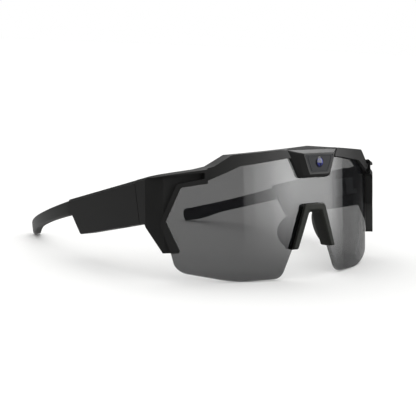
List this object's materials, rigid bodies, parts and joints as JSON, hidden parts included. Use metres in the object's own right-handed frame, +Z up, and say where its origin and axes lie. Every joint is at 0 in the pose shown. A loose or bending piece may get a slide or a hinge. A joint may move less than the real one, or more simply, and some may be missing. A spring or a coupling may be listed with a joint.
{
  "type": "smart glasses",
  "caption": "Wraparound smart sports glasses: smoke shield lens in a black brow frame, centre camera, folding temples that hold the electronics, rubber ear tips.",
  "frame": {"origin": "middle of the bounding box at its bottom: on the surface the glasses stand on, midway between the temples", "axes": "+X towards the wearer's left, +Y from the lens back towards the ear tips, +Z up; the glasses stand open on the lens's lower edge and the two ear tips"},
  "size_m": [0.152, 0.165, 0.0632],
  "materials": {
    "black_nylon": "matte black moulded nylon with a fine spark texture",
    "satin_nylon": "satin black moulded nylon",
    "soft_rubber": "soft matte moulded rubber",
    "nose_rubber": "soft matte moulded silicone rubber",
    "smoke_lens": "smoke tinted see-through polycarbonate, hard coated",
    "camera_plate": "satin charcoal faceplate",
    "cover_glass": "violet anti-reflection coating",
    "optic_glass": "polished, coated",
    "barrel_black": "matte black",
    "hinge_steel": "stainless, tumbled",
    "screw_steel": "black oxide",
    "grille_steel": "black painted, slotted",
    "core_steel": "spring steel strip",
    "contact_gold": "gold plated",
    "board_green": "solder-mask green circuit board",
    "battery_foil": "pouch-cell foil",
    "speaker_black": "black coated speaker can",
    "switch_steel": "tact switch can",
    "button_nylon": "satin black"
  },
  "bodies": {
    "front": {"front_frame": "black_nylon", "shield_lens": "smoke_lens", "side_cover_left": "black_nylon", "side_cover_right": "black_nylon", "camera_housing": "black_nylon", "camera_face_plate": "camera_plate", "camera_cover_glass": "cover_glass", "camera_barrel": "barrel_black", "camera_lens_element": "optic_glass", "image_sensor_board": "board_green", "nose_bridge": "nose_rubber", "nose_pad_left": "nose_rubber", "nose_pad_right": "nose_rubber", "hinge_leaf_front_left": "hinge_steel", "hinge_leaf_front_right": "hinge_steel", "hinge_pin_left": "hinge_steel", "hinge_pin_right": "hinge_steel"},
    "temple_left": {"temple_shell_left": "black_nylon", "temple_inner_cover_left": "satin_nylon", "cover_screws_left": "screw_steel", "speaker_grille_left": "grille_steel", "speaker_left": "speaker_black", "battery_left": "battery_foil", "audio_board": "board_green", "ear_tip_core_left": "core_steel", "ear_tip_left": "soft_rubber", "hinge_leaf_temple_left": "hinge_steel"},
    "temple_right": {"temple_shell_right": "black_nylon", "temple_inner_cover_right": "satin_nylon", "cover_screws_right": "screw_steel", "speaker_grille_right": "grille_steel", "speaker_right": "speaker_black", "battery_right": "battery_foil", "main_board": "board_green", "ear_tip_core_right": "core_steel", "ear_tip_right": "soft_rubber", "hinge_leaf_temple_right": "hinge_steel", "charging_contacts": "contact_gold", "button_switch": "switch_steel"},
    "button": {"record_button": "button_nylon"}
  },
  "joints": [
    {"name": "temple_fold_left", "type": "hinge", "parent": "front", "child": "temple_left", "pos_m": [0.066, -0.03909, 0.03461], "axis": [0, 0.2504, 0.9681], "range_deg": [0, 88]},
    {"name": "temple_fold_right", "type": "hinge", "parent": "front", "child": "temple_right", "pos_m": [-0.066, -0.03909, 0.03461], "axis": [0, -0.2504, -0.9681], "range_deg": [0, 73]},
    {"name": "record_press", "type": "slide", "parent": "temple_right", "child": "button", "axis": [0, 0.2504, 0.9681], "range_m": [0, 0.0004], "stiffness_N_per_m": 1500}
  ]
}
